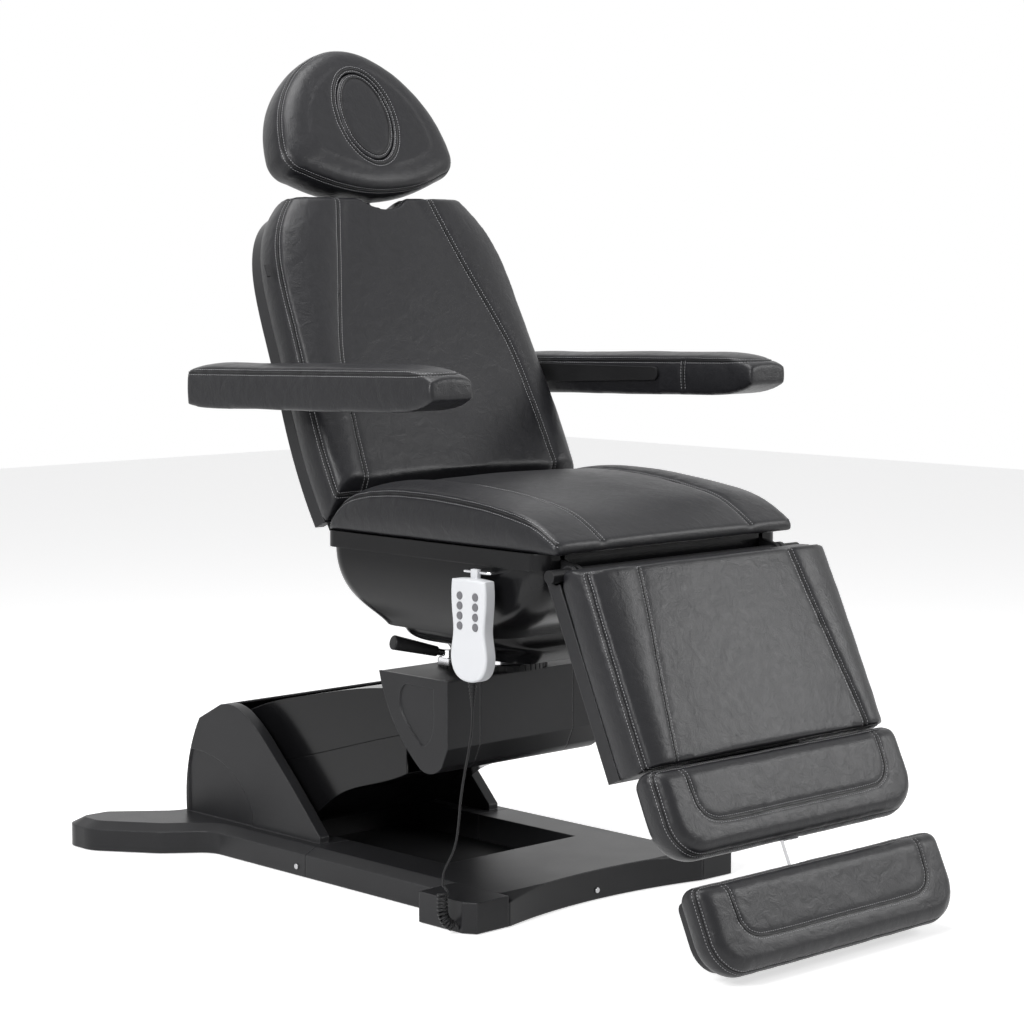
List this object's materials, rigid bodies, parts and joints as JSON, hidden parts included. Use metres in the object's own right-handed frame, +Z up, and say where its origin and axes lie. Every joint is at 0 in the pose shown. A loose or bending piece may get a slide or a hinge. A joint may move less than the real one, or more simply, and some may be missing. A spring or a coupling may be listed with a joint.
{
  "type": "treatment chair",
  "caption": "Powered salon treatment chair on a parallelogram lift, with reclining back, leg rest with sliding foot pad, lift-up armrests, headrest and corded hand control.",
  "frame": {"origin": "centre of the base's footprint, on the floor under the steel pan", "axes": "+Z up, -Y towards the foot end, +X to the sitter's left, +Y from foot to head"},
  "size_m": [0.856, 1.5632, 1.488],
  "materials": {
    "frame_paint": "black powder coat, satin",
    "cover_plastic": "charcoal moulded plastic, satin with a fine grain",
    "bowl_gloss": "black moulded plastic, semi gloss",
    "upholstery": "dark charcoal upholstery leather, fine grain, soft sheen",
    "chrome_trim": "polished",
    "bright_steel": "brushed and turned",
    "black_rubber": "matt black",
    "remote_white": "white moulded plastic, soft gloss",
    "button_grey": "grey rubber keys",
    "pad_plastic": "black backing shell, fine texture"
  },
  "bodies": {
    "base": {"floor_pan": "frame_paint", "base_frame": "frame_paint", "leveling_feet": "black_rubber", "rear_base_cover": "cover_plastic", "front_base_cover": "cover_plastic", "cover_screws": "chrome_trim", "remote_cord": "black_rubber", "curly_cord": "black_rubber"},
    "lift_arm": {"arm_frame": "frame_paint", "arm_upper_cover": "cover_plastic", "arm_lower_cover": "cover_plastic"},
    "link": {"leveling_link": "frame_paint"},
    "lift_drive": {"lift_motor": "frame_paint"},
    "lift_extension": {"lift_rod": "bright_steel"},
    "head": {"head_frame": "frame_paint", "head_front_cover": "cover_plastic", "head_side_covers": "cover_plastic", "turntable_base": "frame_paint"},
    "turntable": {"turntable_top": "bright_steel", "bowl_shroud": "bowl_gloss", "tilt_bracket": "frame_paint"},
    "brake": {"brake_lever": "chrome_trim", "lever_grip": "black_rubber"},
    "tilt_drive": {"tilt_motor": "frame_paint"},
    "tilt_extension": {"tilt_rod": "bright_steel"},
    "seat": {"seat_frame": "frame_paint", "seat_shell": "bowl_gloss", "seat_cushion": "upholstery", "remote_hook": "chrome_trim", "hinge_pins": "chrome_trim", "remote_case": "remote_white", "strain_relief": "black_rubber"},
    "back": {"back_frame": "frame_paint", "back_shell": "pad_plastic", "back_cushion": "upholstery"},
    "back_drive": {"back_motor": "frame_paint"},
    "back_extension": {"back_rod": "bright_steel"},
    "head_post": {"headrest_post": "chrome_trim"},
    "headrest": {"headrest_cushion": "upholstery"},
    "plug": {"face_plug": "upholstery"},
    "left_armrest": {"left_armrest_bracket": "frame_paint", "left_armrest_pad": "upholstery"},
    "right_armrest": {"right_armrest_bracket": "frame_paint", "right_armrest_pad": "upholstery"},
    "leg_rest": {"leg_shell": "pad_plastic", "leg_cushion": "upholstery", "upper_foot_cushion": "upholstery"},
    "leg_drive": {"leg_motor": "frame_paint"},
    "leg_extension": {"leg_rod": "bright_steel"},
    "foot": {"slide_bar": "chrome_trim", "lower_foot_shell": "pad_plastic", "lower_foot_cushion": "upholstery"},
    "button_1": {"remote_button_1": "button_grey"},
    "button_2": {"remote_button_2": "button_grey"},
    "button_3": {"remote_button_3": "button_grey"},
    "button_4": {"remote_button_4": "button_grey"},
    "button_5": {"remote_button_5": "button_grey"},
    "button_6": {"remote_button_6": "button_grey"},
    "button_7": {"remote_button_7": "button_grey"},
    "button_8": {"remote_button_8": "button_grey"}
  },
  "joints": [
    {"name": "lift", "type": "hinge", "parent": "base", "child": "lift_arm", "pos_m": [0, 0.235, 0.205], "axis": [-1, 0, 0], "range_deg": [0, 26]},
    {"name": "link_swing", "type": "hinge", "parent": "base", "child": "link", "pos_m": [0, 0.245, 0.135], "axis": [-1, 0, 0], "range_deg": [0, 26.1]},
    {"name": "head_level", "type": "hinge", "parent": "lift_arm", "child": "head", "pos_m": [0, -0.225, 0.3], "axis": [-1, 0, 0], "range_deg": [-26.1, 0]},
    {"name": "swivel", "type": "hinge", "parent": "head", "child": "turntable", "pos_m": [0, -0.225, 0.395], "axis": [0, 0, 1], "range_deg": [-120, 120]},
    {"name": "brake_turn", "type": "hinge", "parent": "turntable", "child": "brake", "pos_m": [-0.1085, -0.225, 0.41], "axis": [0, 0, 1], "range_deg": [0, 30]},
    {"name": "seat_tilt", "type": "hinge", "parent": "turntable", "child": "seat", "pos_m": [0, -0.3, 0.475], "axis": [-1, 0, 0], "range_deg": [0, 12]},
    {"name": "back_recline", "type": "hinge", "parent": "seat", "child": "back", "pos_m": [0, -0.095, 0.64], "axis": [-1, 0, 0], "range_deg": [0, 65]},
    {"name": "leg_lift", "type": "hinge", "parent": "seat", "child": "leg_rest", "pos_m": [0, -0.675, 0.605], "axis": [-1, 0, 0], "range_deg": [0, 58]},
    {"name": "headrest_height", "type": "slide", "parent": "back", "child": "head_post", "axis": [0, 0.4115, 0.9114], "range_m": [0, 0.07]},
    {"name": "headrest_tilt", "type": "hinge", "parent": "head_post", "child": "headrest", "pos_m": [0, 0.17435, 1.21881], "axis": [-1, 0, 0], "range_deg": [0, 35]},
    {"name": "face_plug_out", "type": "slide", "parent": "headrest", "child": "plug", "axis": [0, -0.9114, 0.4115], "range_m": [0, 0.06]},
    {"name": "left_armrest_lift", "type": "hinge", "parent": "back", "child": "left_armrest", "pos_m": [0, 0.027, 0.886], "axis": [-1, 0, 0], "range_deg": [0, 95]},
    {"name": "right_armrest_lift", "type": "hinge", "parent": "back", "child": "right_armrest", "pos_m": [0, 0.027, 0.886], "axis": [-1, 0, 0], "range_deg": [0, 95]},
    {"name": "foot_slide", "type": "slide", "parent": "leg_rest", "child": "foot", "axis": [0, 0.4131, 0.9107], "range_m": [0, 0.04]},
    {"name": "lift_drive_swing", "type": "hinge", "parent": "base", "child": "lift_drive", "pos_m": [0, 0.215, 0.085], "axis": [-1, 0, 0], "range_deg": [0, 20.26]},
    {"name": "lift_extend", "type": "slide", "parent": "lift_drive", "child": "lift_extension", "axis": [0, -0.802, 0.5973], "range_m": [0, 0.0452]},
    {"name": "tilt_drive_swing", "type": "hinge", "parent": "turntable", "child": "tilt_drive", "pos_m": [0, -0.215, 0.45], "axis": [-1, 0, 0], "range_deg": [0, 7.85]},
    {"name": "tilt_extend", "type": "slide", "parent": "tilt_drive", "child": "tilt_extension", "axis": [0, -0.8538, 0.5206], "range_m": [-0.0061, 0]},
    {"name": "back_drive_swing", "type": "hinge", "parent": "seat", "child": "back_drive", "pos_m": [0, -0.386, 0.573], "axis": [-1, 0, 0], "range_deg": [0, 1.65]},
    {"name": "back_extend", "type": "slide", "parent": "back_drive", "child": "back_extension", "axis": [0, 0.9985, 0.0551], "range_m": [-0.0647, 0]},
    {"name": "leg_drive_swing", "type": "hinge", "parent": "seat", "child": "leg_drive", "pos_m": [0, -0.379, 0.575], "axis": [-1, 0, 0], "range_deg": [0, 5.75]},
    {"name": "leg_extend", "type": "slide", "parent": "leg_drive", "child": "leg_extension", "axis": [0, -0.995, -0.0995], "range_m": [0, 0.049]},
    {"name": "button_1_press", "type": "slide", "parent": "seat", "child": "button_1", "axis": [1, 0, 0], "range_m": [0, 0.001], "stiffness_N_per_m": 400, "springref_m": -0.0008},
    {"name": "button_2_press", "type": "slide", "parent": "seat", "child": "button_2", "axis": [1, 0, 0], "range_m": [0, 0.001], "stiffness_N_per_m": 400, "springref_m": -0.0008},
    {"name": "button_3_press", "type": "slide", "parent": "seat", "child": "button_3", "axis": [1, 0, 0], "range_m": [0, 0.001], "stiffness_N_per_m": 400, "springref_m": -0.0008},
    {"name": "button_4_press", "type": "slide", "parent": "seat", "child": "button_4", "axis": [1, 0, 0], "range_m": [0, 0.001], "stiffness_N_per_m": 400, "springref_m": -0.0008},
    {"name": "button_5_press", "type": "slide", "parent": "seat", "child": "button_5", "axis": [1, 0, 0], "range_m": [0, 0.001], "stiffness_N_per_m": 400, "springref_m": -0.0008},
    {"name": "button_6_press", "type": "slide", "parent": "seat", "child": "button_6", "axis": [1, 0, 0], "range_m": [0, 0.001], "stiffness_N_per_m": 400, "springref_m": -0.0008},
    {"name": "button_7_press", "type": "slide", "parent": "seat", "child": "button_7", "axis": [1, 0, 0], "range_m": [0, 0.001], "stiffness_N_per_m": 400, "springref_m": -0.0008},
    {"name": "button_8_press", "type": "slide", "parent": "seat", "child": "button_8", "axis": [1, 0, 0], "range_m": [0, 0.001], "stiffness_N_per_m": 400, "springref_m": -0.0008}
  ],
  "couplings": [
    {"joint": "link_swing", "follows": "lift", "ratio": 1},
    {"joint": "head_level", "follows": "lift", "ratio": -1},
    {"joint": "lift_drive_swing", "follows": "lift", "ratio": 0.7754},
    {"joint": "lift_extend", "follows": "lift", "m_per_rad": 0.09885},
    {"joint": "tilt_drive_swing", "follows": "seat_tilt", "ratio": 0.6462},
    {"joint": "tilt_extend", "follows": "seat_tilt", "m_per_rad": -0.02746},
    {"joint": "back_drive_swing", "follows": "back_recline", "ratio": 0.0238},
    {"joint": "back_extend", "follows": "back_recline", "m_per_rad": -0.05681},
    {"joint": "leg_drive_swing", "follows": "leg_lift", "ratio": 0.0974},
    {"joint": "leg_extend", "follows": "leg_lift", "m_per_rad": 0.04814}
  ]
}
